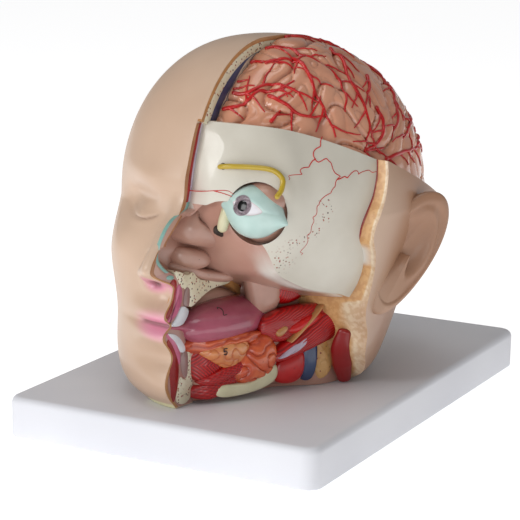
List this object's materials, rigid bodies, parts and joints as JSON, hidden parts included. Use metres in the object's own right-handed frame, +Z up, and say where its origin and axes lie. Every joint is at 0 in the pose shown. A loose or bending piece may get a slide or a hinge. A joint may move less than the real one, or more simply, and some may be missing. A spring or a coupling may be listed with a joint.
{
  "type": "anatomical head model",
  "caption": "Life-size anatomical head model on a flat base plate, cut open on its left side to show the brain, eye, nose, mouth, muscles and vessels.",
  "frame": {"origin": "centre of the underside of the whole part's box, 6.3 mm towards +X from the middle of the base plate", "axes": "+Z up, the long sides of the base plate along Y, the face towards -Y and turned 8 degrees towards -X, the cut-open left side of the head towards +X"},
  "size_m": [0.2126, 0.302, 0.2303],
  "materials": {
    "base_plastic": "smooth white moulded plastic",
    "skin_paint": "satin skin-coloured paint on moulded plastic, glossy where cut open",
    "brain_paint": "glossy flesh-pink paint with red arteries",
    "eye_paint": "glossy pale aqua and white paint",
    "nerve_paint": "glossy yellow paint"
  },
  "bodies": {
    "root": {"base_plate": "base_plastic", "head_casting": "skin_paint", "brain_left_hemisphere": "brain_paint", "eyeball": "eye_paint", "supraorbital_nerve": "nerve_paint"}
  },
  "joints": []
}
